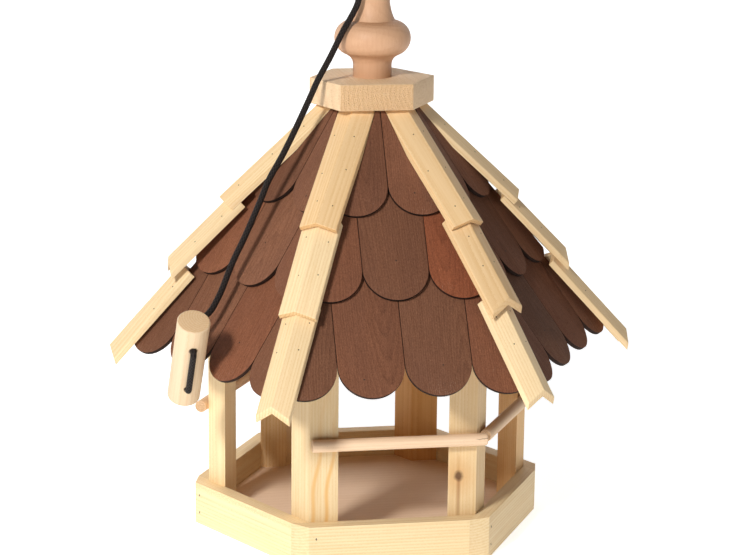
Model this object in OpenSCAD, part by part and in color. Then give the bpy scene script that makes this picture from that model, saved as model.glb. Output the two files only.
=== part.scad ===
// Hanging bird feeder: a six-sided open tray on posts under a shingled pyramid roof.
// The base stands on z = 0 with its centre on the z axis, and the front faces -Y.

/* [Tray] */
// Length of one side of the tray, between its sharp outer corners
side = 180; // [160:1:200]
// Height of the rim boards
rim_h = 42; // [36:1:60]
// Thickness of the rim boards
rim_t = 15; // [12:1:20]
// Height of the floor's upper face above the ground
floor_top = 14; // [10:1:20]
// Thickness of the plywood floor
floor_t = 6; // [4:1:8]

/* [Posts and perches] */
// Thickness of the rhombic posts, across their faces
post_t = 24; // [18:1:28]
// Height of the posts' tops above the ground
post_top = 236; // [226:1:240]
// Height of the ring of rails that ties the posts together
rail_h = 20; // [14:1:20]
// Diameter of the round perches
perch_d = 12; // [8:1:14]
// Height of the perches' centres above the ground
perch_z = 120; // [80:1:150]

/* [Roof] */
// Height at which the outer planes of the roof panels would meet
roof_apex = 488.5; // [486:0.5:492]
// Slope of the roof panels, in degrees
roof_slope = 57.5; // [56:0.5:58]
// Thickness of the roof panels
panel_t = 6; // [4:1:8]
// Distance down the slope from the apex to the panels' lower edge
panel_end = 333; // [325:1:340]
// Thickness of a shingle
shingle_t = 4; // [3:0.5:4]
// Width of a shingle
shingle_w = 63; // [60:0.5:63]
// Gap between neighbouring shingles
shingle_gap = 0.5; // [0.3:0.1:1]
// How far the tail of each shingle is lifted off its panel
shingle_lift = 6.5; // [6.4:0.1:7]

/* [Hip caps] */
// Half of the width of the ridge moulding
cap_w = 18.5; // [16:0.5:20]
// Height of the moulding's point above its outer arrises
cap_rise = 9; // [8:0.5:9.5]
// Thickness of the moulding, measured straight down
cap_t = 6; // [5:0.5:6.5]

/* [Top] */
// Distance from the axis to the corners of the top block
block_r = 62; // [56:1:64]
// Thickness of the top block
block_t = 25.5; // [20:0.5:28]
// How far the front left corner of the sawn block stands out of a true hexagon
block_skew = 9; // [0:1:10]
// Height of the turned finial above the block
finial_h = 98; // [96:1:104]

/* [Hanging cord] */
// Diameter of the braided cord
cord_d = 6; // [5:0.5:6]
// Diameter of the bore that the cord runs in
bore_d = 7; // [7:0.5:8]
// Diameter of the wooden toggle
toggle_d = 31; // [28:1:32]
// Length of the wooden toggle
toggle_l = 100; // [90:1:110]
// Distance between the toggle's two holes
toggle_pitch = 52; // [48:1:56]

/* [Hidden] */
FACES = ["front", "front_right", "back_right", "back", "back_left", "front_left"];
CORNERS = ["front_right", "right", "back_right", "back_left", "left", "front_left"];
ROWS = ["top", "middle", "bottom"];
PERCH_FACES = [0, 1, 3, 4];

$fn = 48;
wood_pale = [0.93, 0.84, 0.66];
wood_warm = [0.86, 0.70, 0.50];
stained_brown = [0.42, 0.24, 0.17];
cord_black = [0.07, 0.07, 0.08];
steel = [0.55, 0.55, 0.56];

// Distances of the tray's faces and inner corners from the axis
rim_out = side * cos(30);
rim_in = rim_out - rim_t;
in_half = rim_in * tan(30);
post_side = post_t / sin(60);

// Nails: two through the exposed end of each rim board, and one through each end of a perch
nail_d = 2.4;
rim_nail_z = [12, 30];
rim_nail_x = 14;
rim_nail_l = 30;
perch_nail_l = 24;

// How far each perch runs to the left and the right of its face's middle, seen from outside
perch_left = [80, 74, 0, 82, 74, 0];
perch_right = [90, 88, 0, 90, 88, 0];
perch_round = 1.5;

// Shingles, top to bottom: where the tails end down the slope, and how long the shingles are
tail = [190.3, 275.1, 370.5];
shingle_len = [110, 110, 126.5];
// How much further the tails of the lower rows are lifted
flare = [0, 1, 4.5];
// How far the rows of the front right face sit off its middle, to the right seen from outside
row_shift = [0, 10, 17];
// How far a face's shingles run past its left and right hips; their neighbours stop short
lap_left = [0, 0, -8.3, 0, 0, 5];
lap_right = [0, 8, 0, 0, -5.3, 0];
mitre = 0.3;
block_z = 424.5;

// Hip caps, top to bottom: distances down the hip of each one's two ends, the height of its
// ridge above the panels there, how much narrower each wing is, and how far the lower end
// leans from a square cut; the lists of six go round the corners
hip_slope = atan(tan(roof_slope) * cos(30));
cap_from = [76, 204, 290];
lift_from = [[3.3, 21.1, 20.5], [3.3, 21.1, 23], [3.3, 21.1, 20.5],
    [3.3, 21.1, 20.5], [3.3, 21.1, 20.5], [3.3, 21.1, 20.5]];
cap_to = [[214.7, 298.5, 391], [214.7, 293.5, 403], [214.7, 296, 398],
    [214.7, 296, 398], [214.7, 292, 397], [214.7, 304, 398]];
lift_to = [[29.6, 32, 26], [29.6, 33.5, 35.5], [29.6, 33, 30],
    [29.6, 33, 30], [29.6, 35.5, 31], [29.6, 28, 27.5]];
cap_narrow = [0, 0, 2];
cap_lean = [[0, 40, 38], [4, 42, 38], [0, 38, 38], [0, 36, 38], [-4, 40, 32], [0, 8, 38]];

// Cord: up out of the finial, over in a small arch, and down beside the roof to the toggle
finial_top = block_z + block_t + finial_h;
cord_stub_route = [
    [0, 0, 422.5], [0, 0, 440], [0, 0, 460], [0, 0, 480], [0, 0, 500], [0, 0, 520],
    [0, 0, 536], [0, 0, 546], [0, 0, 551], [-0.6, -0.6, 555.5]
];
cord_run_route = [
    [-5.2, -5.2, 562], [-8.5, -8.5, 563], [-11.8, -11.8, 562], [-14.5, -14.5, 559.5],
    [-16.3, -16.3, 555.5], [-17, -17, 551], [-17.2, -17.4, 544], [-17, -17.6, 535],
    [-17.5, -17.8, 525], [-24, -20, 512], [-33, -24.5, 498.5], [-47, -31, 473],
    [-59, -36, 453], [-68, -40, 435], [-82, -47, 408], [-95, -52, 384], [-110, -59, 360],
    [-118, -63, 342], [-134, -71, 309], [-147, -78, 285], [-158, -84, 260],
    [-164, -88, 249.5], [-169.5, -91.5, 241.5], [-176, -95.5, 237], [-183.5, -101, 236],
    [-190, -107, 238]
];
cord_side = [0.52, -0.85, 0];
toggle_mid = [-194, -123, 204];
toggle_turn = 2;
toggle_lean = 31;
toggle_tip = 2;
toggle_edge = 1;
knot_r = 7;
knot_l = 11;
cord_sides = 8;

// Points on an arc, from angle a0 to angle a1
function arc(cx, cy, r, a0, a1, n) =
    [for (k = [0:n]) let (a = a0 + (a1 - a0) * k / n) [cx + r * cos(a), cy + r * sin(a)]];

function unit(v) = v / norm(v);

// Direction of a route at its point number i
function heading(p, i) = unit(p[min(i + 1, len(p) - 1)] - p[max(i - 1, 0)]);

// The ring of corners round a tube; the tube's sides keep their direction along its length
function ring(c, t, r, side) =
    let (x = unit(cross(t, side)), y = cross(t, x))
    [for (k = [0:cord_sides - 1]) let (a = 360 * (k + 0.5) / cord_sides) c + r * (cos(a) * x + sin(a) * y)];

// The rings that round off one end of a tube, from its tip inwards
function dome(c, out, t, r, side) =
    [for (a = [15, 45, 75]) ring(c + r * cos(a) * out, t, r * sin(a), side)];

// A tube swept along a route, its ends either rounded or cut square
module tube(p, side, round_first, round_last) {
    r = cord_d / 2;
    n = len(p);
    t0 = heading(p, 0);
    t1 = heading(p, n - 1);
    first = round_first ? dome(p[0], -t0, t0, r, side) : [];
    last = round_last ? dome(p[n - 1], t1, t1, r, side) : [];
    middle = [for (i = [0:n - 1]) ring(p[i], heading(p, i), r, side)];
    rings = concat(first, middle, [for (k = [len(last) - 1:-1:0]) last[k]]);
    m = len(rings);
    corners = [for (q = rings, c = q) c];
    walls = [
        for (i = [0:m - 2], k = [0:cord_sides - 1])
            let (a = i * cord_sides, b = (k + 1) % cord_sides)
            [a + k, a + b, a + cord_sides + b, a + cord_sides + k]
    ];
    start = [[for (k = [cord_sides - 1:-1:0]) k]];
    end = [[for (k = [0:cord_sides - 1]) (m - 1) * cord_sides + k]];
    polyhedron(points = corners, faces = concat(start, walls, end), convexity = 6);
}

// Turns a shape that is drawn at the front to face number i
module at_face(i) {
    rotate([0, 0, 60 * i])
        children();
}

module floor_panel() {
    color(wood_warm)
        translate([0, 0, floor_top - floor_t])
            cylinder(r = rim_in / cos(30), h = floor_t, $fn = 6);
}

// Each board's left end shows its end grain, and its right end butts against the next board
module rim_board(i) {
    step = rim_t / tan(60);
    color(wood_pale)
        difference() {
            at_face(i)
                linear_extrude(rim_h)
                    polygon([
                        [-side / 2 + rim_t - step, -rim_out],
                        [side / 2 - 2 * step, -rim_out],
                        [in_half, -rim_in],
                        [-side / 2 - step, -rim_in]
                    ]);
            rim_nails();
        }
}

// Nails driven through the exposed end of each board into the end of its neighbour
module rim_nails() {
    color(steel)
        for (i = [0:5], z = rim_nail_z)
            at_face(i)
                translate([-side / 2 + rim_nail_x, -rim_out, z])
                    rotate([-90, 0, 30])
                        cylinder(d = nail_d, h = rim_nail_l);
}

// The rhombus that fills the tray's inner corner between two rim boards
module post(j) {
    corner = [in_half, -rim_in];
    along = post_side * [-1, 0];
    across = post_side * [cos(60), sin(60)];
    color(wood_pale)
        difference() {
            at_face(j)
                translate([0, 0, floor_top])
                    linear_extrude(post_top - floor_top)
                        polygon([corner, corner + along, corner + along + across, corner + across]);
            perch_nails();
        }
}

// Six rails on the posts' tops, mitred at the corners
module top_ring() {
    rail_in = rim_in - post_t;
    gap = 0.1;
    color(wood_pale)
        for (i = [0:5])
            at_face(i)
                translate([0, 0, post_top])
                    linear_extrude(rail_h)
                        polygon([
                            [gap - in_half, -rim_in],
                            [in_half - gap, -rim_in],
                            [rail_in * tan(30) - gap, -rail_in],
                            [gap - rail_in * tan(30), -rail_in]
                        ]);
}

module perch(i) {
    length = perch_left[i] + perch_right[i];
    r = perch_d / 2;
    color(wood_warm)
        difference() {
            at_face(i)
                translate([-perch_left[i], -rim_in - r, perch_z])
                    rotate([0, 90, 0])
                        rotate_extrude()
                            polygon(concat(
                                [[0, 0]],
                                arc(r - perch_round, perch_round, perch_round, -90, 0, 4),
                                arc(r - perch_round, length - perch_round, perch_round, 0, 90, 4),
                                [[0, length]]
                            ));
            perch_nails();
        }
}

module perch_nails() {
    color(steel)
        for (i = PERCH_FACES, s = [-1, 1])
            at_face(i)
                translate([s * (in_half - post_side * 0.55), -rim_in - perch_d + 0.1, perch_z])
                    rotate([-90, 0, 0])
                        cylinder(d = nail_d, h = perch_nail_l);
}

// Lays a shape on a roof face: x across it, y up the slope to the apex, z out of it
module on_roof(i) {
    at_face(i)
        translate([0, 0, roof_apex])
            rotate([roof_slope, 0, 0])
                children();
}

// The wedge of space between the two hips of a face, made wider at its left and right
module sector(i, left, right) {
    near = 40;
    far = 400;
    at_face(i)
        translate([0, -mitre, 0])
            linear_extrude(600)
                polygon([
                    [-near * tan(30) - left / cos(30), -near],
                    [-far * tan(30) - left / cos(30), -far],
                    [far * tan(30) + right / cos(30), -far],
                    [near * tan(30) + right / cos(30), -near]
                ]);
}

module roof_panel(i) {
    head = (roof_apex - block_z + 1) / sin(roof_slope);
    color(stained_brown)
        difference() {
            intersection() {
                on_roof(i)
                    translate([-220, -panel_end, -panel_t])
                        cube([440, panel_end - head, panel_t]);
                sector(i, 0, 0);
            }
            cap_seats(i);
        }
}

// A plank with a half-round tail; its head lies on the panel and its tail is lifted
module shingle(length, lift) {
    translate([0, length, 0])
        rotate([-asin(lift / length), 0, 0])
            translate([0, -length, 0])
                linear_extrude(shingle_t)
                    union() {
                        translate([0, shingle_w / 2])
                            circle(d = shingle_w);
                        translate([-shingle_w / 2, shingle_w / 2])
                            square([shingle_w, length - shingle_w / 2]);
                    }
}

// One row of a face: two, three or four shingles, trimmed along the hips
module shingles(r, i) {
    pitch = shingle_w + shingle_gap;
    shift = i == 1 ? row_shift[r] : 0;
    first = shift > 0 ? -1 : 0;
    color(stained_brown)
        difference() {
            intersection() {
                on_roof(i)
                    for (k = [first:r + 1])
                        translate([(k - (r + 1) / 2) * pitch + shift, -tail[r], 0])
                            shingle(shingle_len[r], shingle_lift + flare[r]);
                sector(i, lap_left[i], lap_right[i]);
            }
            if (r == 0)
                cap_seats(i);
        }
}

// A point above a hip, from its distance down the hip and its height above the panels
function hip_point(s, h) = [
    s * cos(hip_slope) + h * sin(hip_slope),
    roof_apex - s * sin(hip_slope) + h * cos(hip_slope)
];

// One length of ridge moulding between two points of the hip's upright plane; over and under
// thicken it, and gap widens it, to cut its seat in what lies below
module hip_cap(from, to, lean, w, over, under, gap) {
    run = to - from;
    length = norm(run);
    translate([from[0], 0, from[1]])
        rotate([0, 90 + atan2(-run[1], run[0]), 0])
            difference() {
                linear_extrude(length + 30)
                    polygon([
                        [-over, 0],
                        [cap_rise - over, w + gap],
                        [cap_rise + cap_t + under, w + gap],
                        [cap_t + under, 0],
                        [cap_rise + cap_t + under, -w - gap],
                        [cap_rise - over, -w - gap]
                    ]);
                translate([0, 0, length])
                    rotate([0, -lean, 0])
                        translate([-60, -40, 0])
                            cube([160, 80, 90]);
            }
}

// The seats of the two uppermost lengths beside a face, which rest in its panel and shingles
module cap_seats(i) {
    for (j = [i, i + 5])
        at_face(j)
            rotate([0, 0, -60])
                hip_cap(
                    hip_point(cap_from[0] - 12, lift_from[j % 6][0] - 2.3),
                    hip_point(cap_to[j % 6][0], lift_to[j % 6][0]),
                    cap_lean[j % 6][0], cap_w, 7, 0.4, 0.3
                );
}

// Three lengths on each hip, each with its head under the tail of the one above
module hip_caps(j) {
    color(wood_pale)
        intersection() {
            at_face(j)
                rotate([0, 0, -60])
                    for (t = [0:2])
                        hip_cap(
                            hip_point(cap_from[t], lift_from[j][t]),
                            hip_point(cap_to[j][t], lift_to[j][t]),
                            cap_lean[j][t], cap_w - cap_narrow[t], 0, 0, 0
                        );
            translate([-350, -350, 0])
                cube([700, 700, block_z]);
        }
}

module cap_block() {
    corners = [
        for (k = [0:5])
            block_r * [cos(60 * k), sin(60 * k)] - (k == 4 ? [block_skew, 0] : [0, 0])
    ];
    color(wood_pale)
        translate([0, 0, block_z])
            difference() {
                linear_extrude(block_t)
                    polygon(corners);
                translate([0, 0, -1])
                    cylinder(d = bore_d, h = block_t + 2);
            }
}

// Turned outline: neck, bulb, long cove, round tip, and the flared mouth of the bore
module finial() {
    bore = bore_d / 2;
    color(wood_warm)
        translate([0, 0, block_z + block_t])
            rotate_extrude()
                polygon(concat(
                    [[bore, 0], [19, 0], [19, 12]],
                    arc(29, 12, 10, 180, 115, 5),
                    arc(20.5, 38, 17, -73, 78, 16),
                    arc(66.4, 78, 50, 207, 172, 8),
                    arc(4.5, finial_h - 12, 12, 5, 84, 7),
                    [[bore + 2, finial_h], [bore, finial_h - 2]]
                ));
}

module anchor_washer() {
    color(steel)
        translate([0, 0, block_z - 2])
            difference() {
                cylinder(d = 24, h = 2);
                translate([0, 0, -1])
                    cylinder(d = bore_d, h = 4);
            }
}

// A knot: a ball with a flat on either side
module knot() {
    color(cord_black)
        intersection() {
            sphere(r = knot_r);
            cylinder(r = knot_r + 2, h = knot_l, center = true);
        }
}

module anchor_knot() {
    translate([0, 0, block_z - 2 - knot_l / 2])
        knot();
}

module cord_stub() {
    color(cord_black)
        tube(cord_stub_route, cord_side, false, true);
}

// Where a point of the toggle's own frame lies: z runs along it and -y out of its front
function tip_y(p, a) = [p[0] * cos(a) + p[2] * sin(a), p[1], p[2] * cos(a) - p[0] * sin(a)];
function lean_x(p, a) = [p[0], p[1] * cos(a) - p[2] * sin(a), p[1] * sin(a) + p[2] * cos(a)];
function turn_z(p, a) = [p[0] * cos(a) - p[1] * sin(a), p[0] * sin(a) + p[1] * cos(a), p[2]];
function on_toggle(p) =
    toggle_mid + turn_z(lean_x(tip_y(p, toggle_tip), toggle_lean), toggle_turn);

module in_toggle() {
    translate(toggle_mid)
        rotate([0, 0, toggle_turn])
            rotate([toggle_lean, 0, 0])
                rotate([0, toggle_tip, 0])
                    children();
}

// The cord's end stops a little behind the toggle, where the toggle hangs from it
toggle_pivot = on_toggle([0, toggle_d / 2 + 3.5, toggle_pitch / 2]);

module cord_run() {
    approach = on_toggle([0, toggle_d / 2 + 11, toggle_pitch / 2]);
    color(cord_black)
        tube(concat(cord_run_route, [approach, toggle_pivot]), cord_side, true, true);
}

module toggle() {
    color(wood_pale)
        in_toggle()
            difference() {
                translate([0, 0, -toggle_l / 2])
                    rotate_extrude()
                        polygon([
                            [0, 0],
                            [toggle_d / 2 - toggle_edge, 0],
                            [toggle_d / 2, toggle_edge],
                            [toggle_d / 2, toggle_l - toggle_edge],
                            [toggle_d / 2 - toggle_edge, toggle_l],
                            [0, toggle_l]
                        ]);
                for (s = [-1, 1])
                    translate([0, 0, s * toggle_pitch / 2])
                        rotate([90, 0, 0])
                            cylinder(d = bore_d, h = toggle_d + 4, center = true);
            }
}

// In through the upper hole, down the front of the toggle, and back through the lower hole
module cord_lacing() {
    back = toggle_d / 2;
    hole = toggle_pitch / 2;
    bend = bore_d / 2 + 0.1;
    upper = [for (q = arc(-back, hole - bend, bend, 90, 180, 4)) [0, q[0], q[1]]];
    half = concat([[0, back, hole], [0, 5, hole], [0, -6, hole]], upper, [[0, -back - bend, 8]]);
    n = len(half);
    lower = [for (k = [n - 1:-1:1]) [0, half[k][1], -half[k][2]]];
    color(cord_black)
        in_toggle()
            tube(concat(half, lower, [[0, back + 0.2, -hole]]), [1, 0, 0], false, false);
}

module end_knot() {
    in_toggle()
        translate([0, toggle_d / 2 + 0.2 + knot_l / 2, -toggle_pitch / 2])
            rotate([90, 0, 0])
                knot();
}

floor_panel();
top_ring();
cap_block();
finial();
for (i = [0:5]) rim_board(i);
for (j = [0:5]) post(j);
for (i = PERCH_FACES) perch(i);
for (i = [0:5]) roof_panel(i);
for (r = [0:2], i = [0:5])
    shingles(r, i);
for (j = [0:5]) hip_caps(j);
rim_nails();
perch_nails();
anchor_washer();
anchor_knot();
cord_stub();
cord_run();
toggle();
cord_lacing();
end_knot();
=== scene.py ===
"""Hanging bird feeder: the finish of every piece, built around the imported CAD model.

Metres, +Z up, front at -Y. Measures taken from the CAD source are in millimetres, times MM.
"""

import math
import random

import bmesh
import bpy
from mathutils import Matrix, Vector


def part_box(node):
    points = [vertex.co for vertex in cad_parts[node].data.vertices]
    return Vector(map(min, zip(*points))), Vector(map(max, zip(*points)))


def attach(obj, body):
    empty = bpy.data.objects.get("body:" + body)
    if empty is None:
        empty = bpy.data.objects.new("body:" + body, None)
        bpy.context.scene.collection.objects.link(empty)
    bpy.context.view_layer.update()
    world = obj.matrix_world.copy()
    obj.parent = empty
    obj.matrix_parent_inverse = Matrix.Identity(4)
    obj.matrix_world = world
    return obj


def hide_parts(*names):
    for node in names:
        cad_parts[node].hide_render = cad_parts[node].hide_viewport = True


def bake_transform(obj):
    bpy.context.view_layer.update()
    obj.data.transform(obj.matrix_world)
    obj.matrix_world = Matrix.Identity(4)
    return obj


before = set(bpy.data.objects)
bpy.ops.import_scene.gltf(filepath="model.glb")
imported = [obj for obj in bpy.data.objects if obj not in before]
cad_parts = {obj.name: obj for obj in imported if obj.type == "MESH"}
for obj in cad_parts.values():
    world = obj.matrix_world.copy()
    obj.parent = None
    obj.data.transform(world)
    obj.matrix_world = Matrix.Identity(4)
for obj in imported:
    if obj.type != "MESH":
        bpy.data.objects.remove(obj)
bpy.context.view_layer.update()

FACES = ["front", "front_right", "back_right", "back", "back_left", "front_left"]
CORNERS = ["front_right", "right", "back_right", "back_left", "left", "front_left"]
ROWS = ["top", "middle", "bottom"]
UP = Vector((0, 0, 1))
FRONT = Vector((0, -1, 0))
MM = 0.001

# ---------------------------------------------------------------- measures

# The photograph's view as it was fitted to the object. The lens and its sensor are in mm.
VIEW_TURN = math.radians(10)
VIEW_PITCH = math.radians(13.538)
VIEW_ROLL = math.radians(0.622)
VIEW_AIM = Vector((0, 0, 0.2516))
VIEW_DISTANCE = 2.3738
LENS, SENSOR, LENS_SHIFT = 115.59, 36, -0.00627

# Studio: one key light, a weak even world, and a pale floor that sweeps up behind the object
KEY_PLACE, KEY_AIM = Vector((-1.46, -1.88, 1.62)), Vector((0, 0, 0.25))
KEY_SIZE, KEY_WATTS, KEY_COLOUR = 0.34, 62, (1, 0.99, 0.97)
WORLD_STRENGTH = 0.14
FLOOR_FRONT, FLOOR_SIDE = -6, 8
SWEEP_START, SWEEP_RADIUS, SWEEP_TOP = 3, 2, 7
FLOOR_GREY, FLOOR_ROUGH = 0.93, 0.9
GLOW_FROM, GLOW_TO = 0.4, 2.0
GLOW_NEAR, GLOW_FAR = 0.70, 0.76

# Roof: slopes of the faces, and of the three ridge mouldings along each hip
ROOF_SLOPE = math.radians(57.5)
CAP_SLOPES = [math.radians(a) for a in (42.7, 48.0, 49.9)]
CAP_TIER_HEIGHTS = (0.345, 0.27)

# Roof, in mm. Rows from the top: where the tails end down the slope, how long the shingles are,
# how far each row is shifted on the front-right face, and how far the tails stand off the panels.
APEX = Vector((0, 0, 488.5)) * MM
TAILS, LENGTHS, PITCH = (190.3, 275.1, 370.5), (110, 110, 126.5), 63.5
ROW_SHIFT = (0, 10, 17)
SHIFTED_FACE = 1
LIFTS, THICK = (6.5, 7.5, 11.0), 4.0

# Hip caps from the top, in mm: each one's start and end, as a distance down the hip and a height
# above the panels, and the rise and half width of its two sides.
CAP_FROM, LIFT_FROM = (76, 204, 290), (3.3, 21.1, 20.5)
RIGHT_LAST_LIFT = 23.0
CAP_TO = (
    (214.7, 298.5, 391), (214.7, 293.5, 403), (214.7, 296, 398),
    (214.7, 296, 398), (214.7, 292, 397), (214.7, 304, 398),
)
LIFT_TO = (
    (29.6, 32, 26), (29.6, 33.5, 35.5), (29.6, 33, 30),
    (29.6, 33, 30), (29.6, 35.5, 31), (29.6, 28, 27.5),
)
CAP_RISE, CAP_WIDTHS = 9.0, (18.5, 18.5, 16.5)

# Nail heads of the shingles and staples of the hip caps, in mm
NAIL_UP, NAIL_SIDE = (16, 52), 9
NAIL_MARGIN, NAIL_TAPER = 26, 0.3
NAIL_RADIUS, NAIL_PROUD = 1.0, 0.1
STAPLES_AT = ((34, 78, 118), (22, 58), (20, 48))
STAPLE_ALONG, STAPLE_SIDE = 4, (6, 13)
STAPLE_RADIUS, STAPLE_PROUD = 0.75, 0.12
HEAD_SUNK = 0.4

# Cord, in mm: its route, from the finial's bore to the back of the toggle
CORD_D = 6 * MM
CORD_TOP = [(0, 0, 536), (0, 0, 546), (0, 0, 551), (-0.6, -0.6, 555.5)]
CORD_RUN = [
    (-5.2, -5.2, 562), (-8.5, -8.5, 563), (-11.8, -11.8, 562), (-14.5, -14.5, 559.5),
    (-16.3, -16.3, 555.5), (-17, -17, 551), (-17.2, -17.4, 544), (-17, -17.6, 535),
    (-17.5, -17.8, 525), (-24, -20, 512), (-33, -24.5, 498.5), (-47, -31, 473),
    (-59, -36, 453), (-68, -40, 435), (-82, -47, 408), (-95, -52, 384), (-110, -59, 360),
    (-118, -63, 342), (-134, -71, 309), (-147, -78, 285), (-158, -84, 260),
    (-164, -88, 249.5), (-169.5, -91.5, 241.5), (-176, -95.5, 237), (-183.5, -101, 236),
    (-190, -107, 238),
]
BORE_BOTTOM, BORE_TOP, BORE_STEP = 422, 536, 6
CORD_STEP = 2.5 * MM

# Toggle: its measures, and its place and turn in the object's frame
TOGGLE_D = 31 * MM
TOGGLE_PITCH = 52 * MM
TOGGLE_MID = Vector((-194, -123, 204)) * MM
TOGGLE_TURN = (
    Matrix.Rotation(math.radians(2), 3, "Z")
    @ Matrix.Rotation(math.radians(31), 3, "X")
    @ Matrix.Rotation(math.radians(2), 3, "Y")
)
TOGGLE_AXIS = TOGGLE_TURN @ UP
TOGGLE_FRONT = TOGGLE_TURN @ FRONT
LACING_BEND, LACING_END = 3.6 * MM, 2.6 * MM

# Knots: a trefoil's points, how much of it is wound, and its size
KNOT_STEPS, KNOT_WOUND = 72, 0.93
KNOT_ACROSS, KNOT_DEEP, KNOT_CORD = 1.35, 2.1, 5.2 * MM

# ---------------------------------------------------------------- shades and hues, 0 to 1

# Each hip's three caps, in order of x, then of y
CAP_SHADES = [
    ([0.35, 0.3, 1.0], [0.3, 0.32, 0.0]),
    ([0.6, 0.5, 0.55], [0.1, 0.15, 0.12]),
    ([0.5, 0.6, 0.4], [0.15, 0.05, 0.2]),
    ([0.5, 0.6, 0.4], [0.1, 0.2, 0.1]),
    ([0.7, 0.65, 0.55], [0.0, 0.02, 0.12]),
    ([0.75, 0.8, 0.4], [0.04, 0.0, 0.32]),
]

# The front's shingles, from its left to its right
SHADES = {
    ("top", "front"): ([0.35, 0.45], [0.1, 0.15]),
    ("middle", "front"): ([0.6, 0.3, 0.75], [0.2, 0.05, 0.75]),
    ("bottom", "front"): ([0.25, 0.5, 0.4, 0.65], [0.0, 0.15, 0.0, 0.25]),
}

RIM_TONES, RIM_HUE = [0.5, 0.45, 0.3, 0.6, 0.5, 1.0], 0.03
# The posts' shades and hues, in the order of CORNERS. Besides each post's own tone and hue, the
# right and back right posts are darker and warmer: painted shade and painted warm bounce light
# from the wood under the roof.
POST_HUES_AND_BOUNCE_LIGHT = [0.15, 0.55, 0.95, 0.3, 0.05, 0.1]
POST_TONES_AND_SHADE = [0.05, 0.25, 0.1, 0.5, 0.8, 0.15]
PERCH_TONE, BLOCK_TONE, TOGGLE_TONE = 0.75, 0.6, 0.8

# Marks on the front's two posts
KNOT_AT = Vector((64, -140.9, 82)) * MM
LINES_AT = Vector((-77.5, -140.9, 60)) * MM


# ---------------------------------------------------------------- directions


def about_z(vector, degrees):
    return Matrix.Rotation(math.radians(degrees), 3, "Z") @ Vector(vector)


def face_out(i):
    """The level direction out of face number i."""
    return about_z(FRONT, 60 * i)


def face_along(i):
    """The level direction along face number i, to its right."""
    return about_z((1, 0, 0), 60 * i)


def slope_down(i):
    return face_out(i) * math.cos(ROOF_SLOPE) - UP * math.sin(ROOF_SLOPE)


def slope_out(i):
    return face_out(i) * math.sin(ROOF_SLOPE) + UP * math.cos(ROOF_SLOPE)


def corner_out(j, turn=0):
    """The level direction out of corner number j, turned by some degrees."""
    return about_z((0.5, -math.sqrt(3) / 2, 0), 60 * j + turn)


def hip_point(j, along, lift):
    """A point above hip number j, from its distance down the hip and its height, both in mm."""
    slope = math.atan(math.tan(ROOF_SLOPE) * math.cos(math.radians(30)))
    level = along * math.cos(slope) + lift * math.sin(slope)
    height = lift * math.cos(slope) - along * math.sin(slope)
    return APEX + (corner_out(j) * level + UP * height) * MM


def cap_slope(middle):
    """The slope of a hip's cap, by which of the three lengths its height says that it is."""
    first, second = CAP_TIER_HEIGHTS
    return CAP_SLOPES[0 if middle.z > first else 1 if middle.z > second else 2]


def cap_axis(middle, j):
    slope = cap_slope(middle)
    return corner_out(j) * math.cos(slope) - UP * math.sin(slope)


def cap_out(middle, j):
    slope = cap_slope(middle)
    return corner_out(j) * math.sin(slope) + UP * math.cos(slope)


# ---------------------------------------------------------------- materials


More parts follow.
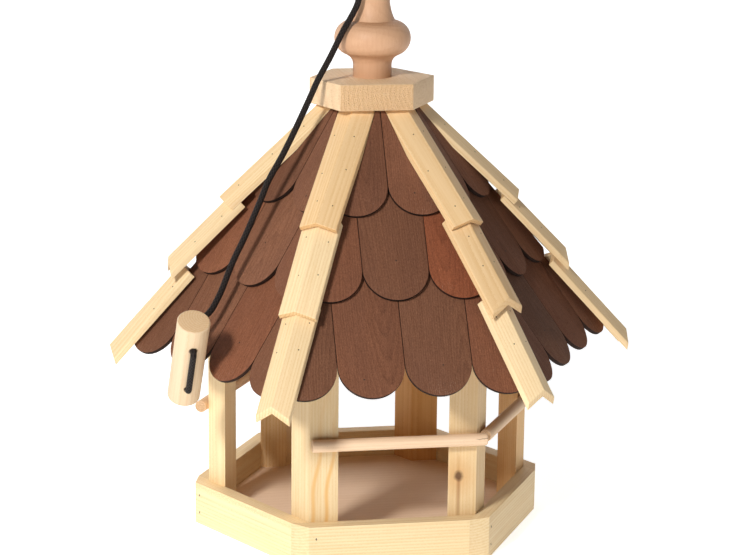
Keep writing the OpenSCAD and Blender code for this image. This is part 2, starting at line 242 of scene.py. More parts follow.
class Nodes:
    """Short forms for building a material's node tree."""

    def __init__(self, name):
        self.material = bpy.data.materials.new(name)
        self.material.use_nodes = True
        self.tree = self.material.node_tree
        self.shader = self.tree.nodes["Principled BSDF"]

    def put(self, socket, value):
        if isinstance(value, bpy.types.NodeSocket):
            self.tree.links.new(value, socket)
        else:
            socket.default_value = value

    def attribute(self, name, output="Vector"):
        node = self.tree.nodes.new("ShaderNodeAttribute")
        node.attribute_name = name
        return node.outputs[output]

    def geometry(self, output):
        return self.tree.nodes.new("ShaderNodeNewGeometry").outputs[output]

    def scaled(self, vector, scale):
        node = self.tree.nodes.new("ShaderNodeMapping")
        self.put(node.inputs["Vector"], vector)
        node.inputs["Scale"].default_value = scale
        return node.outputs["Vector"]

    def axes(self, vector):
        split = self.tree.nodes.new("ShaderNodeSeparateXYZ")
        self.put(split.inputs[0], vector)
        return split.outputs

    def noise(self, vector, scale, detail, rough):
        node = self.tree.nodes.new("ShaderNodeTexNoise")
        self.put(node.inputs["Vector"], self.scaled(vector, scale))
        node.inputs["Scale"].default_value = 1.0
        node.inputs["Detail"].default_value = detail
        node.inputs["Roughness"].default_value = rough
        return node.outputs["Fac"]

    def wander(self, vector, scale, size, detail=3.0, rough=0.6):
        """Noise about zero, to make an edge uneven."""
        noise = self.noise(vector, scale, detail, rough)
        return self.times(self.maths("SUBTRACT", noise, 0.5), size)

    def rings(self, vector, scale, distortion, detail_scale):
        node = self.tree.nodes.new("ShaderNodeTexWave")
        node.wave_type = "RINGS"
        node.rings_direction = "X"
        node.wave_profile = "SAW"
        self.put(node.inputs["Vector"], vector)
        node.inputs["Scale"].default_value = scale
        node.inputs["Distortion"].default_value = distortion
        node.inputs["Detail"].default_value = 2
        node.inputs["Detail Scale"].default_value = detail_scale
        return node.outputs["Fac"]

    def maths(self, what, a, b=0.0, clamp=False):
        node = self.tree.nodes.new("ShaderNodeMath")
        node.operation = what
        node.use_clamp = clamp
        self.put(node.inputs[0], a)
        self.put(node.inputs[1], b)
        return node.outputs[0]

    def plus(self, a, b):
        return self.maths("ADD", a, b)

    def times(self, a, b):
        return self.maths("MULTIPLY", a, b)

    def share(self, a, b):
        """A product that stays within 0 and 1."""
        return self.maths("MULTIPLY", a, b, clamp=True)

    def range(self, value, low, high, to_low=0.0, to_high=1.0):
        node = self.tree.nodes.new("ShaderNodeMapRange")
        self.put(node.inputs["Value"], value)
        node.inputs["From Min"].default_value = low
        node.inputs["From Max"].default_value = high
        node.inputs["To Min"].default_value = to_low
        node.inputs["To Max"].default_value = to_high
        return node.outputs["Result"]

    def band(self, value, middle, half, soft):
        """1 where value is within half of middle, fading to 0 over soft."""
        away = self.maths("ABSOLUTE", self.maths("SUBTRACT", value, middle))
        return self.range(away, half, half + soft, 1.0, 0.0)

    def mix(self, share, a, b, how="MIX"):
        node = self.tree.nodes.new("ShaderNodeMix")
        node.data_type = "RGBA"
        node.blend_type = how
        self.put(node.inputs["Factor"], share)
        self.put(node.inputs["A"], a)
        self.put(node.inputs["B"], b)
        return node.outputs["Result"]

    def tint(self, a, b):
        return self.mix(1.0, a, b, "MULTIPLY")

    def length(self, vector):
        node = self.tree.nodes.new("ShaderNodeVectorMath")
        node.operation = "LENGTH"
        self.put(node.inputs[0], vector)
        return node.outputs["Value"]

    def facing(self, attribute):
        """How squarely the surface faces along or against a direction, 0 to 1."""
        node = self.tree.nodes.new("ShaderNodeVectorMath")
        node.operation = "DOT_PRODUCT"
        self.put(node.inputs[0], self.geometry("Normal"))
        self.put(node.inputs[1], self.attribute(attribute))
        return self.maths("ABSOLUTE", node.outputs["Value"])

    def bump(self, height, distance, strength):
        node = self.tree.nodes.new("ShaderNodeBump")
        node.inputs["Strength"].default_value = strength
        node.inputs["Distance"].default_value = distance
        self.put(node.inputs["Height"], height)
        self.put(self.shader.inputs["Normal"], node.outputs["Normal"])


def colour(red, green, blue):
    return (red, green, blue, 1)


# Scales of the wood's noises: along the grain, then across it both ways, per metre
RING_BEND = (0.35, 1, 1)
STREAKS = (9, 420, 420)
FIBRES = (45, 2300, 2300)
CLOUDS = (7, 26, 26)
SAND = (520, 1050, 1050)
SAW_MARKS = (600, 900, 900)
WOOD_BUMP = 0.0006


def wood(
    name, early, late, stain, rings=110.0, ring_share=0.45, fibre_share=0.3, end_tone=0.72,
    rough=0.62, bump=0.25, blotch=0.3, speck=0.0, edge=0.0, ruddy=(1.0, 0.7, 0.42),
    spread=(0.86, 1.1), shine=0.3, end_rings=0.75, figure=None,
):
    """Sawn wood in three dimensions: rings round the pith, long fibres and rougher end grain.

    The grain attribute runs along each piece, in metres. tone and warm are a shade and hue for
    each piece, 0 to 1. speck is the share of a sandy, rough-sawn speckle, and edge is how far the
    edge faces are darkened towards near black, a painted shade. figure draws one piece's own
    marks, from the spot attribute.
    """
    n = Nodes(name)
    grain = n.attribute("grain")
    ring = n.maths("POWER", n.rings(n.scaled(grain, RING_BEND), rings, 2.6, 14.0), 2.2)
    streak = n.noise(grain, STREAKS, 4.0, 0.65)
    fine = n.noise(grain, FIBRES, 2.0, 0.5)
    cloud = n.noise(grain, CLOUDS, 3.0, 0.55)
    body = n.mix(n.share(ring, ring_share), early, late)
    body = n.mix(n.share(n.range(streak, 0.42, 0.72), fibre_share), body, late)
    body = n.mix(n.share(n.range(cloud, 0.38, 0.7), blotch), body, stain)
    body = n.mix(n.attribute("warm", "Fac"), body, n.tint(body, colour(*ruddy)))
    body = n.tint(body, n.range(n.attribute("tone", "Fac"), 0.0, 1.0, *spread))
    if speck:
        sand = n.noise(grain, SAND, 4.0, 0.7)
        body = n.tint(body, n.range(sand, 0.3, 0.7, 1 - speck, 1 + speck))
        pale = colour(early[0] * 2.2, early[1] * 2.6, early[2] * 3.0)
        body = n.mix(n.share(n.range(sand, 0.66, 0.76), speck), body, pale)
    if figure:
        body = figure(n, body)
    end = n.range(n.facing("along"), 0.72, 0.95)
    sawn = n.noise(grain, SAW_MARKS, 3.0, 0.6)
    cut = n.mix(n.share(ring, end_rings), body, late)
    cut = n.tint(cut, colour(end_tone, end_tone * 0.9, end_tone * 0.78))
    body = n.mix(end, body, n.mix(n.range(sawn, 0.45, 0.85), cut, body))
    # Painted shade: faces that turn away from the piece's face direction, its edges, are darkened
    # to near black by the share edge.
    if edge:
        painted_edge_shade = n.range(n.facing("facing"), 0.9, 0.35, 0.0, edge)
        body = n.mix(painted_edge_shade, body, colour(0.012, 0.006, 0.004))
    n.put(n.shader.inputs["Base Color"], body)
    n.put(n.shader.inputs["Roughness"], n.range(streak, 0.3, 0.8, rough - 0.08, rough + 0.14))
    n.shader.inputs["Specular IOR Level"].default_value = shine
    height = n.plus(n.times(ring, -0.35), n.times(fine, 0.5))
    height = n.plus(height, n.times(streak, 0.6))
    if speck:
        height = n.plus(height, n.times(sand, 1.5))
    height = n.plus(height, n.times(n.times(sawn, end), 1.6))
    n.bump(height, WOOD_BUMP * bump, 0.9)
    return n.material


def metal(name, tint, rough):
    """Steel with a little dirt on it."""
    n = Nodes(name)
    speck = n.noise(n.attribute("grain"), (900, 900, 900), 3.0, 0.6)
    dirt = colour(0.09, 0.06, 0.045)
    n.put(n.shader.inputs["Base Color"], n.mix(n.range(speck, 0.35, 0.7), tint, dirt))
    n.shader.inputs["Metallic"].default_value = 0.75
    n.put(n.shader.inputs["Roughness"], n.range(speck, 0.2, 0.8, rough, rough + 0.25))
    n.bump(speck, 0.0001, 0.5)
    return n.material


def braid(name):
    """A braided cord: strands that cross in two directions.

    In the lay attribute, x is the length along the cord and y the turn round it, 0 to 1.
    """
    strand_length, strands_round = 0.0042, 6
    n = Nodes(name)
    place = n.attribute("lay")
    along, turn, _ = n.axes(place)
    waves = []
    for sign in (-1, 1):
        down = n.times(along, 2 * math.pi / strand_length)
        phase = n.plus(down, n.times(turn, sign * 2 * math.pi * strands_round))
        waves.append(n.maths("SINE", phase))
    strands = n.maths("MAXIMUM", waves[0], waves[1])
    fibre = n.noise(place, (2600, 120, 1), 3.0, 0.6)
    # Lighter on the strands' crowns and darker in the gaps between them: painted shade in the
    # braid's creases.
    shade = n.mix(
        n.range(strands, -0.6, 1.0), colour(0.003, 0.002, 0.002), colour(0.022, 0.015, 0.013)
    )
    n.put(n.shader.inputs["Base Color"], shade)
    n.put(n.shader.inputs["Roughness"], n.range(fibre, 0.3, 0.7, 0.48, 0.75))
    n.shader.inputs["Specular IOR Level"].default_value = 0.22
    n.bump(n.plus(strands, n.times(fibre, 0.3)), 0.00035, 1.0)
    return n.material


def knot_figure(n, body):
    """A small dark knot with an orange halo, and the crack that runs down from it."""
    spot = n.attribute("spot")
    along, across, _ = n.axes(spot)
    wander = n.wander(spot, (160, 160, 160), 0.7)
    near = n.plus(n.length(n.scaled(spot, (190, 230, 0))), wander)
    halo = n.times(n.range(near, 0.9, 4.5, 1.0, 0.0), 0.6)
    body = n.mix(halo, body, colour(0.62, 0.33, 0.12))
    crack = n.times(n.band(across, 0.0, 0.0004, 0.0022), n.range(along, -0.046, -0.004, 0.45, 0.8))
    below = n.times(crack, n.range(along, -0.002, 0.002, 1.0, 0.0))
    body = n.mix(below, body, colour(0.36, 0.17, 0.06))
    line = n.band(across, 0.0003, 0.0003, 0.0016)
    above = n.times(line, n.range(along, 0.030, 0.004, 0.0, 0.7))
    above = n.times(above, n.range(along, 0.0, 0.003))
    body = n.mix(above, body, colour(0.50, 0.27, 0.10))
    return n.mix(n.range(near, 0.55, 1.25, 0.9, 0.0), body, colour(0.12, 0.055, 0.025))


def line_figure(n, body):
    """Two orange growth lines that wander up the piece, a little way apart."""
    along, across, _ = n.axes(n.attribute("spot"))
    wave = n.times(n.maths("SINE", n.times(along, 95.0)), 0.0016)
    drift = n.plus(wave, n.times(along, -0.105))
    for middle, share in ((0.0, 0.8), (-0.013, 0.9)):
        line = n.band(n.maths("SUBTRACT", across, drift), middle, 0.0006, 0.0021)
        fade = n.range(along, 0.085, 0.03, 0.15, share)
        body = n.mix(n.times(line, fade), body, colour(0.72, 0.42, 0.15))
    return body


def crack_figure(n, body):
    """A fine drying crack that starts at the piece's end."""
    spot = n.attribute("spot")
    along, across, out = n.axes(spot)
    wander = n.wander(spot, (300, 40, 40), 0.003, 2.0, 0.5)
    line = n.band(n.plus(across, wander), 0.0, 0.0001, 0.0004)
    crack = n.times(line, n.range(along, -0.013, -0.009))
    crack = n.times(crack, n.range(out, -0.001, 0.0, 0.0, 0.85))
    return n.mix(crack, body, colour(0.16, 0.08, 0.04))


def holes_figure(n, body):
    """Dark, ragged rims round the toggle's two holes."""
    spot = n.attribute("spot")
    along, across, _ = n.axes(spot)
    from_hole = n.tree.nodes.new("ShaderNodeCombineXYZ")
    past = n.maths("SUBTRACT", n.maths("ABSOLUTE", along), TOGGLE_PITCH / 2)
    n.put(from_hole.inputs[0], past)
    n.put(from_hole.inputs[1], across)
    away = n.plus(n.length(from_hole.outputs[0]), n.wander(spot, (700, 700, 700), 0.002))
    return n.mix(n.range(away, 0.0036, 0.0046, 0.85, 0.0), body, colour(0.10, 0.045, 0.02))


def tail_figure(n, body):
    """Pale torn fibres and a little dust, towards a shingle's tail."""
    spot = n.attribute("spot")
    along, _, _ = n.axes(spot)
    fuzz = n.noise(spot, (420, 900, 900), 4.0, 0.75)
    patch = n.noise(spot, (30, 30, 30), 2.0, 0.5)
    torn = n.times(n.range(fuzz, 0.56, 0.7), n.range(along, -0.036, -0.002))
    torn = n.share(torn, n.range(patch, 0.46, 0.66, 0.0, 0.75))
    return n.mix(torn, body, colour(0.42, 0.26, 0.18))


PINE_EARLY, PINE_LATE = colour(0.88, 0.71, 0.44), colour(0.72, 0.47, 0.21)
PINE_STAIN = colour(0.80, 0.58, 0.30)
PINE = wood(
    "pale_pine", PINE_EARLY, PINE_LATE, PINE_STAIN, ring_share=0.6, fibre_share=0.42
)
MOULDING = wood(
    "moulding_wood", colour(0.83, 0.65, 0.40), colour(0.68, 0.44, 0.20), colour(0.76, 0.55, 0.30),
    ring_share=0.6, fibre_share=0.45, end_tone=0.85,
)
PINE_KNOT = wood(
    "pale_pine_knot", colour(0.88, 0.69, 0.42), PINE_LATE, PINE_STAIN,
    ring_share=0.5, fibre_share=0.42, figure=knot_figure,
)
PINE_LINES = wood(
    "pale_pine_lines", PINE_EARLY, PINE_LATE, PINE_STAIN,
    ring_share=0.4, fibre_share=0.42, figure=line_figure,
)
BLOCK = wood(
    "block_wood", colour(0.84, 0.61, 0.38), colour(0.66, 0.42, 0.22), colour(0.76, 0.52, 0.31),
    rings=70, ring_share=0.35, end_tone=0.95, end_rings=0.35, bump=2.2,
)
DOWEL_CRACK = wood(
    "dowel_wood_crack",
    colour(0.82, 0.61, 0.42), colour(0.64, 0.40, 0.23), colour(0.74, 0.51, 0.32),
    rings=160, ring_share=0.35, fibre_share=0.45, figure=crack_figure,
)
DOWEL = wood(
    "dowel_wood", colour(0.78, 0.58, 0.39), colour(0.64, 0.40, 0.21), colour(0.74, 0.51, 0.30),
    rings=160, ring_share=0.25,
)
TOGGLE = wood(
    "toggle_wood", colour(0.71, 0.56, 0.38), colour(0.58, 0.37, 0.20), colour(0.68, 0.48, 0.29),
    rings=130, ring_share=0.5, end_tone=1.0, end_rings=0.25, figure=holes_figure,
)
TURNED = wood(
    "turned_wood", colour(0.60, 0.375, 0.235), colour(0.46, 0.25, 0.14), colour(0.53, 0.31, 0.19),
    rings=90, ring_share=0.25, rough=0.5, end_tone=0.85,
)
# Stained shingles. edge=0.92 darkens their edge faces nearly to black: painted shade under the
# tails.
SHINGLE = wood(
    "stained_shingle",
    colour(0.225, 0.097, 0.052), colour(0.115, 0.044, 0.024), colour(0.160, 0.069, 0.041),
    rings=150, ring_share=0.45, fibre_share=0.4, end_tone=0.6, rough=0.74, bump=0.7, blotch=0.55,
    speck=0.3, edge=0.92, ruddy=(1.22, 0.78, 0.56), spread=(0.74, 1.14), shine=0.15,
    figure=tail_figure,
)
PANEL = wood(
    "panel_wood", colour(0.34, 0.20, 0.12), colour(0.2, 0.11, 0.06), colour(0.26, 0.14, 0.08),
    ring_share=0.3,
)
FLOOR = wood(
    "plywood_floor", colour(0.80, 0.61, 0.45), colour(0.68, 0.48, 0.32), colour(0.74, 0.55, 0.39),
    rings=40, ring_share=0.35,
)
STEEL = metal("steel", colour(0.22, 0.19, 0.17), 0.4)
STEEL_DARK = metal("steel_dark", colour(0.07, 0.045, 0.03), 0.6)
BRAID = braid("black_cord")


# ---------------------------------------------------------------- camera and studio


def add_camera():
    """The photograph's view: from the front, ten degrees to the left and a little above."""
    level_ahead = Vector((math.sin(VIEW_TURN), math.cos(VIEW_TURN), 0))
    forward = level_ahead * math.cos(VIEW_PITCH) - UP * math.sin(VIEW_PITCH)
    level = Vector((math.cos(VIEW_TURN), -math.sin(VIEW_TURN), 0))
    over = level.cross(forward)
    right = level * math.cos(VIEW_ROLL) + over * math.sin(VIEW_ROLL)
    up = over * math.cos(VIEW_ROLL) - level * math.sin(VIEW_ROLL)
    place = VIEW_AIM - forward * VIEW_DISTANCE
    data = bpy.data.cameras.new("camera")
    data.lens = LENS
    data.sensor_width = SENSOR
    data.shift_y = LENS_SHIFT
    camera = bpy.data.objects.new("camera", data)
    camera.matrix_world = Matrix(
        [[right[k], up[k], -forward[k], place[k]] for k in range(3)] + [[0, 0, 0, 1]]
    )
    bpy.context.scene.collection.objects.link(camera)
    bpy.context.scene.camera = camera


def add_studio():
    data = bpy.data.lights.new("key", "AREA")
    data.size = KEY_SIZE
    data.energy = KEY_WATTS
    data.color = KEY_COLOUR
    lamp = bpy.data.objects.new("key", data)
    lamp.location = KEY_PLACE
    lamp.rotation_euler = (KEY_AIM - KEY_PLACE).to_track_quat("-Z", "Y").to_euler()
    bpy.context.scene.collection.objects.link(lamp)
    world = bpy.data.worlds.new("studio")
    world.use_nodes = True
    background = world.node_tree.nodes["Background"]
    background.inputs["Color"].default_value = (1, 1, 1, 1)
    background.inputs["Strength"].default_value = WORLD_STRENGTH
    bpy.context.scene.world = world
    bpy.context.scene.view_settings.view_transform = "Standard"


def add_floor():
    """A pale sheet that lies under the object and sweeps up far behind it."""
    sweep = [
        (
            SWEEP_START + SWEEP_RADIUS * math.sin(math.radians(a)),
            SWEEP_RADIUS - SWEEP_RADIUS * math.cos(math.radians(a)),
        )
        for a in range(10, 91, 10)
    ]
    back = SWEEP_START + SWEEP_RADIUS
    steps = [(FLOOR_FRONT, 0), (SWEEP_START, 0)] + sweep + [(back, SWEEP_TOP)]
    mesh = bmesh.new()
    rows = [[mesh.verts.new((x, y, z)) for x in (-FLOOR_SIDE, FLOOR_SIDE)] for y, z in steps]
    for low, high in zip(rows, rows[1:]):
        mesh.faces.new((low[0], low[1], high[1], high[0]))
    data = bpy.data.meshes.new("floor")
    mesh.to_mesh(data)
    mesh.free()
    for face in data.polygons:
        face.use_smooth = True
    floor = bpy.data.objects.new("floor", data)
    bpy.context.scene.collection.objects.link(floor)
    n = Nodes("floor_paper")
    n.shader.inputs["Base Color"].default_value = colour(FLOOR_GREY, FLOOR_GREY, FLOOR_GREY)
    n.shader.inputs["Roughness"].default_value = FLOOR_ROUGH
    n.shader.inputs["Emission Color"].default_value = colour(1, 1, 1)
    away = n.length(n.geometry("Position"))
    glow = n.range(away, GLOW_FROM, GLOW_TO, GLOW_NEAR, GLOW_FAR)
    n.put(n.shader.inputs["Emission Strength"], glow)
    data.materials.append(n.material)


# ---------------------------------------------------------------- pieces made from the CAD solids


def clean_mesh(node):
    """A node's mesh with its triangles joined back into flat faces."""
    mesh = bmesh.new()
    mesh.from_mesh(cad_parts[node].data)
    bmesh.ops.remove_doubles(mesh, verts=mesh.verts, dist=1e-6)
    flat = math.radians(0.4)
    bmesh.ops.dissolve_limit(mesh, angle_limit=flat, verts=mesh.verts, edges=mesh.edges)
    return mesh


def islands(mesh):
    """The separate solids of a mesh, each as a list of vertices."""
    left, found = set(mesh.verts), []
    while left:
        seed = left.pop()
        group, rim = [seed], [seed]
        while rim:
            for edge in rim.pop().link_edges:
                for vert in edge.verts:
                    if vert in left:
                        left.remove(vert)
                        group.append(vert)
                        rim.append(vert)
        found.append(group)
    return found


def round_edges(mesh, width):
    sharp = math.radians(25)
    edges = [e for e in mesh.edges if len(e.link_faces) == 2 and e.calc_face_angle(0) > sharp]
    bmesh.ops.bevel(
        mesh, geom=edges, offset=width, segments=2, profile=0.7, affect="EDGES", clamp_overlap=True
    )


def smooth_by_angle(data, degrees=32):
    for face in data.polygons:
        face.use_smooth = True
    data.set_sharp_from_angle(angle=math.radians(degrees))


def middle_of(data, numbers):
    return sum((data.vertices[k].co for k in numbers), Vector()) / len(numbers)


def write(data, name, kind, values):
    """Adds an attribute with one value for each vertex."""
    field = "vector" if kind == "FLOAT_VECTOR" else "value"
    data.attributes.new(name, kind, "POINT").data.foreach_set(field, values)


def mark_grain(data, parts):
    """Writes where each point lies along its own piece's grain, and the piece's ways and shade.

    parts is one (vertex numbers, axis along the grain, face direction, tone, hue, pith) a solid.
    """
    count = len(data.vertices)
    grain, along, facing = [0.0] * (3 * count), [0.0] * (3 * count), [0.0] * (3 * count)
    tone, warm = [0.0] * count, [0.0] * count
    for numbers, axis, out, shade, hue, pith in parts:
        x = Vector(axis).normalized()
        z = Vector(out) - x * Vector(out).dot(x)
        z.normalize()
        y = z.cross(x)
        middle = middle_of(data, numbers)
        for k in numbers:
            d = data.vertices[k].co - middle
            three = slice(3 * k, 3 * k + 3)
            grain[three] = [d.dot(x) + pith[0], d.dot(y) + pith[1], d.dot(z) + pith[2]]
            along[three] = x
            facing[three] = z
            tone[k], warm[k] = shade, hue
    for name, values in (("grain", grain), ("along", along), ("facing", facing)):
        write(data, name, "FLOAT_VECTOR", values)
    for name, values in (("tone", tone), ("warm", warm)):
        write(data, name, "FLOAT", values)


def pith_for(rng):
    """A place for the piece in its tree: how far along the trunk, and where beside its middle."""
    angle = rng.uniform(0, 2 * math.pi)
    r = rng.uniform(0.012, 0.045)
    return (rng.uniform(-3, 3), r * math.cos(angle), r * math.sin(angle))


def add_piece(name, mesh, material, body, node=None):
    data = bpy.data.meshes.new(name)
    mesh.to_mesh(data)
    mesh.free()
    piece = bpy.data.objects.new(name, data)
    bpy.context.scene.collection.objects.link(piece)
    data.materials.append(material)
    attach(piece, body)
    if node:
        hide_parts(node)
    return piece


def finish_node(
    node, axis, out, material, bevel=0.7 * MM, body="feeder",
    tones=None, warms=None, piths=None,
):
    """Replaces a CAD node with a copy of it that has worn edges and its own grain.

    axis and out are vectors, or functions of a solid's middle. tones, warms and piths have one
    value for each solid, in order of x, then of y; without them they are drawn.
    """
    rng = random.Random(f"{node}0")
    mesh = clean_mesh(node)
    if bevel:
        round_edges(mesh, bevel)
    mesh.verts.ensure_lookup_table()
    mesh.verts.index_update()
    groups = [[v.index for v in group] for group in islands(mesh)]
    piece = add_piece("look_" + node, mesh, material, body, node)
    data = piece.data
    groups.sort(key=lambda group: tuple(round(c, 4) for c in middle_of(data, group)))
    parts = []
    for number, group in enumerate(groups):
        middle = middle_of(data, group)
        a = axis(middle) if callable(axis) else axis
        o = out(middle) if callable(out) else out
        tone = tones[number] if tones else rng.uniform(0.2, 0.9)
        pith = piths[number] if piths else pith_for(rng)
        hue = warms[number] if warms else rng.uniform(0, 0.2)
        parts.append((group, a, o, tone, hue, pith))
    mark_grain(data, parts)
    smooth_by_angle(data)
    return piece


def mark_spot(piece, centre, axis, out):
    """Writes each point's place seen from one mark: along the grain, across it, and outwards."""
    x, z = Vector(axis).normalized(), Vector(out).normalized()
    y = z.cross(x)
    values = []
    for vert in piece.data.vertices:
        d = vert.co - Vector(centre)
        values += [d.dot(x), d.dot(y), d.dot(z)]
    write(piece.data, "spot", "FLOAT_VECTOR", values)


POST_MARKS = {"front_right": (PINE_KNOT, KNOT_AT), "front_left": (PINE_LINES, LINES_AT)}
PERCH_FACES = (0, 1, 3, 4)


def add_tray():
    finish_node("floor_panel", face_along(0), UP, FLOOR, 0.3 * MM)
    for i, face in enumerate(FACES):
        finish_node(
            "rim_board_" + face, face_along(i), face_out(i), PINE, 0.9 * MM,
            tones=[RIM_TONES[i]], warms=[RIM_HUE],
        )
    for j, corner in enumerate(CORNERS):
        material = POST_MARKS[corner][0] if corner in POST_MARKS else PINE
        post = finish_node(
            "post_" + corner, UP, corner_out(j), material, 1.0 * MM,
            tones=[POST_TONES_AND_SHADE[j]], warms=[POST_HUES_AND_BOUNCE_LIGHT[j]],
        )
        if corner in POST_MARKS:
            mark_spot(post, POST_MARKS[corner][1], UP, FRONT)
    finish_node(
        "top_ring", lambda m: UP.cross(m), lambda m: Vector((m.x, m.y, 0)), PINE
    )
    for i in PERCH_FACES:
        material = DOWEL if i else DOWEL_CRACK
        perch = finish_node(
            "perch_" + FACES[i], face_along(i), face_out(i), material, 0,
            tones=[PERCH_TONE],
        )
        if material is DOWEL_CRACK:
            low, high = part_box("perch_" + FACES[i])
            end = (high.x, (low.y + high.y) / 2, (low.z + high.z) / 2 + 2 * MM)
            mark_spot(perch, end, (1, 0, 0), FRONT)
    for node in ("rim_nails", "perch_nails", "anchor_washer"):
        finish_node(node, UP, FRONT, STEEL, 0.15 * MM)


def shingle_shades(row, face):
    """Shades and hues for a row: measured ones on the front, drawn ones elsewhere."""
    rng = random.Random(f"shade {row} {face}")
    most = 6
    shades = [rng.uniform(0, 1) for _ in range(most)]
    hues = [rng.uniform(0, 1) ** 2 * 0.35 for _ in range(most)]
    return SHADES.get((row, face), (shades, hues))


def add_roof():
    for i, face in enumerate(FACES):
        finish_node(
            "roof_panel_" + face, face_along(i), slope_out(i), PANEL, 0.4 * MM
        )
        for row, tail in zip(ROWS, TAILS):
            shades, hues = shingle_shades(row, face)
            piece = finish_node(
                f"shingles_{row}_{face}", slope_down(i), slope_out(i), SHINGLE,
                0.8 * MM, tones=shades, warms=hues,
            )
            mark_spot(piece, APEX + slope_down(i) * tail * MM, slope_down(i), slope_out(i))
    for j, corner in enumerate(CORNERS):
        shades, hues = CAP_SHADES[j]
        finish_node(
            "hip_caps_" + corner, lambda m, j=j: cap_axis(m, j), lambda m, j=j: cap_out(m, j),
            MOULDING, 0.7 * MM, tones=shades, warms=hues,
        )
    finish_node(
        "cap_block", Vector((0.05, -1, 0)), UP, BLOCK, 1.2 * MM,
        tones=[BLOCK_TONE], warms=[0],
    )
    finish_node("finial", UP, FRONT, TURNED, 0.6 * MM, piths=[(0, 0.004, 0.003)])


def nail_head(mesh, place, out, radius, proud):
    """A small round head that stands proud of a surface. Its measures are in mm."""
    turn = Vector(out).to_track_quat("Z", "Y").to_matrix().to_4x4()
    middle = Vector(place) + Vector(out).normalized() * (proud / 2 - HEAD_SUNK) * MM
    bmesh.ops.create_cone(
        mesh, cap_ends=True, segments=10, radius1=radius * MM, radius2=radius * 0.85 * MM,
        depth=(proud + 2 * HEAD_SUNK) * MM, matrix=Matrix.Translation(middle) @ turn,
    )


def add_shingle_nails(mesh, rng):
    for i in range(6):
        for row in range(3):
            shift = ROW_SHIFT[row] if i == SHIFTED_FACE else 0
            half = TAILS[row] * math.cos(ROOF_SLOPE) * math.tan(math.radians(30)) - NAIL_MARGIN
            for k in range(-1 if shift else 0, row + 2):
                up = rng.uniform(*NAIL_UP)
                x = (k - (row + 1) / 2) * PITCH + shift + rng.uniform(-NAIL_SIDE, NAIL_SIDE)
                if abs(x) > half - up * NAIL_TAPER:
                    continue
                height = (LENGTHS[row] - up) * LIFTS[row] / LENGTHS[row] + THICK
                across, down = face_along(i) * x, slope_down(i) * (TAILS[row] - up)
                place = APEX + (across + down + slope_out(i) * height) * MM
                nail_head(mesh, place, slope_out(i), NAIL_RADIUS, NAIL_PROUD)


def add_staples(mesh, rng):
    for j, corner in enumerate(CORNERS):
        side = corner_out(j, 90)
        for tier, width in enumerate(CAP_WIDTHS):
            last_right = corner == "right" and tier == 2
            lift = RIGHT_LAST_LIFT if last_right else LIFT_FROM[tier]
            start = hip_point(j, CAP_FROM[tier], lift)
            way = (hip_point(j, CAP_TO[j][tier], LIFT_TO[j][tier]) - start).normalized()
            out = way.cross(side)
            out = out if out.z > 0 else -out
            for q in STAPLES_AT[tier]:
                for s in (-1, 1):
                    x = s * rng.uniform(*STAPLE_SIDE)
                    along = q + rng.uniform(-STAPLE_ALONG, STAPLE_ALONG)
                    drop = abs(x) * CAP_RISE / width
                    place = start + (way * along + side * x - out * drop) * MM
                    facing = (out * width + side * s * CAP_RISE).normalized()
                    nail_head(mesh, place, facing, STAPLE_RADIUS, STAPLE_PROUD)


def add_fixings():
    """The nails of the shingles and the staples of the hip caps, all sunk to near the surface."""
    rng = random.Random("fixings")
    mesh = bmesh.new()
    add_shingle_nails(mesh, rng)
    add_staples(mesh, rng)
    add_piece("roof_fixings", mesh, STEEL_DARK, "feeder")


# ---------------------------------------------------------------- cord and toggle


def smooth_route(points, step):
    """Points on one smooth curve through a list of points, about a step apart."""
    p = [Vector(q) for q in points]
    p = [p[0] * 2 - p[1]] + p + [p[-1] * 2 - p[-2]]
    dense = []
    for a, b, c, d in zip(p, p[1:], p[2:], p[3:]):
        count = max(2, math.ceil((c - b).length / step))
        square, cube = 2 * a - 5 * b + 4 * c - d, 3 * b - a - 3 * c + d
        for k in range(count):
            t = k / count
            dense.append(0.5 * (2 * b + (c - a) * t + square * t * t + cube * t**3))
    dense.append(p[-2])
    for _ in range(3):
        inner = [(a + 2 * b + c) / 4 for a, b, c in zip(dense, dense[1:], dense[2:])]
        dense = [dense[0]] + inner + [dense[-1]]
    return dense


def tube(name, route, diameter, sides, node):
    """A round tube of cord along a route, in place of a CAD node.

    The lay attribute says how far along and how far round each point lies.
    """
    mesh = bmesh.new()
    rings, lay, length = [], [], 0.0
    side = Vector((0.52, -0.85, 0)).normalized()
    for k, point in enumerate(route):
        heading = (route[min(k + 1, len(route) - 1)] - route[max(k - 1, 0)]).normalized()
        side = (side - heading * side.dot(heading)).normalized()
        other = heading.cross(side)
        if k:
            length += (point - route[k - 1]).length
        ring = []
        for s in range(sides):
            a = 2 * math.pi * s / sides
            outwards = side * math.cos(a) + other * math.sin(a)
            ring.append(mesh.verts.new(point + outwards * diameter / 2))
            lay.append((length, s / sides))
        rings.append(ring)
    for low, high in zip(rings, rings[1:]):
        for s in range(sides):
            after = (s + 1) % sides
            mesh.faces.new((low[s], low[after], high[after], high[s]))
    mesh.faces.new(list(reversed(rings[0])))
    mesh.faces.new(rings[-1])
    mesh.verts.index_update()
    data = bpy.data.meshes.new(name)
    mesh.to_mesh(data)
    mesh.free()
    values = []
    for face in data.polygons:
        places = [lay[data.loops[k].vertex_index] for k in face.loop_indices]
        turns = [turn for _, turn in places]
        wraps = max(turns) - min(turns) > 0.5 and len(turns) == 4
        for along, turn in places:
            values += [along, turn + 1 if wraps and turn < 0.5 else turn, 0]
    data.attributes.new("lay", "FLOAT_VECTOR", "CORNER").data.foreach_set("vector", values)
    piece = bpy.data.objects.new(name, data)
    bpy.context.scene.collection.objects.link(piece)
    data.materials.append(BRAID)
    smooth_by_angle(data, 50)
    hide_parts(node)
    return piece


def on_toggle(y, z):
    """A point in the toggle's own upright plane: z runs along it and -y out of its front."""
    return TOGGLE_MID + TOGGLE_TURN @ Vector((0, y, z))


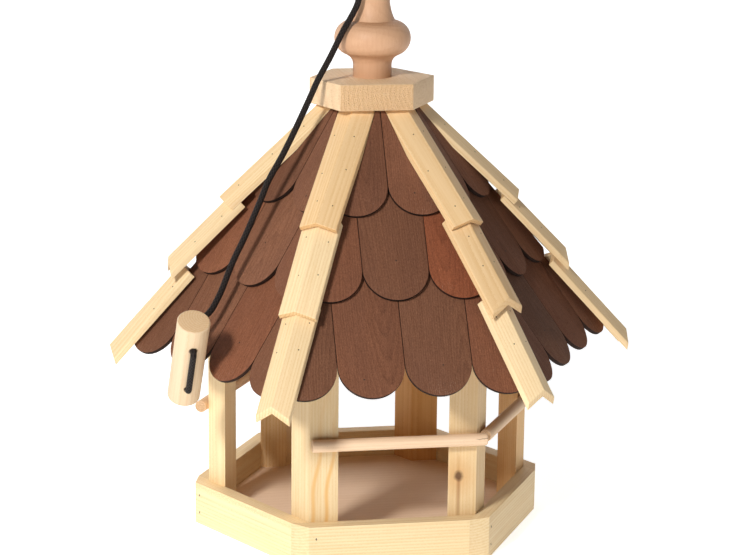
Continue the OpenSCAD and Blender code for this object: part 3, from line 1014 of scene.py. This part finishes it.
def lacing_route():
    """In through the upper hole, down the front, and back through the lower hole to the knot."""
    back, hole, bend = TOGGLE_D / 2, TOGGLE_PITCH / 2, LACING_BEND
    arch = []
    for degrees in range(0, 91, 15):
        a = math.radians(degrees)
        arch.append((-back - bend * math.sin(a), hole - bend + bend * math.cos(a)))
    half = [(back, hole), (5 * MM, hole), (-6 * MM, hole)] + arch + [(-back - bend, 8 * MM)]
    both = half + [(y, -z) for y, z in reversed(half)]
    both[-1] = (back + LACING_END, -hole)
    return [on_toggle(y, z) for y, z in both]


def knot(name, axis, node):
    """An overhand knot in a CAD node's place: the cord wound in a trefoil, drawn tight."""
    low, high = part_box(node)
    turn = Vector(axis).to_track_quat("Z", "Y").to_matrix()
    route = []
    for k in range(KNOT_STEPS + 1):
        a = 2 * math.pi * k / KNOT_STEPS * KNOT_WOUND
        x = (math.sin(a) + 2 * math.sin(2 * a)) * KNOT_ACROSS
        y = (math.cos(a) - 2 * math.cos(2 * a)) * KNOT_ACROSS
        z = -math.sin(3 * a) * KNOT_DEEP
        route.append((low + high) / 2 + turn @ Vector((x, y, z)) * MM)
    return tube(name, route, KNOT_CORD, 12, node)


def add_cord():
    back, hole = TOGGLE_D / 2, TOGGLE_PITCH / 2
    run = [Vector(p) * MM for p in CORD_TOP + CORD_RUN]
    run += [on_toggle(back + 11 * MM, hole), on_toggle(back + 3.5 * MM, hole)]
    route = smooth_route(run, CORD_STEP)
    cord = tube("cord", route, CORD_D, 16, "cord_run")
    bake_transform(cord)
    inner = [Vector((0, 0, z)) * MM for z in range(BORE_BOTTOM, BORE_TOP + 1, BORE_STEP)]
    stub = tube("cord_in_bore", inner + [route[0]], CORD_D, 12, "cord_stub")
    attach(stub, "feeder")
    lacing = tube("cord_lacing_look", lacing_route(), CORD_D, 16, "cord_lacing")
    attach(lacing, "toggle")
    end = knot("end_knot_look", -TOGGLE_FRONT, "end_knot")
    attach(end, "toggle")
    anchor = knot("anchor_knot_look", UP, "anchor_knot")
    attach(anchor, "feeder")
    toggle = finish_node(
        "toggle", TOGGLE_AXIS, TOGGLE_FRONT, TOGGLE, 0.5 * MM, "toggle",
        tones=[TOGGLE_TONE], warms=[0.0], piths=[(0.4, 0.011, 0.006)],
    )
    mark_spot(toggle, TOGGLE_MID, TOGGLE_AXIS, TOGGLE_FRONT)


add_camera()
add_cord()
add_studio()
add_floor()
add_tray()
add_roof()
add_fixings()
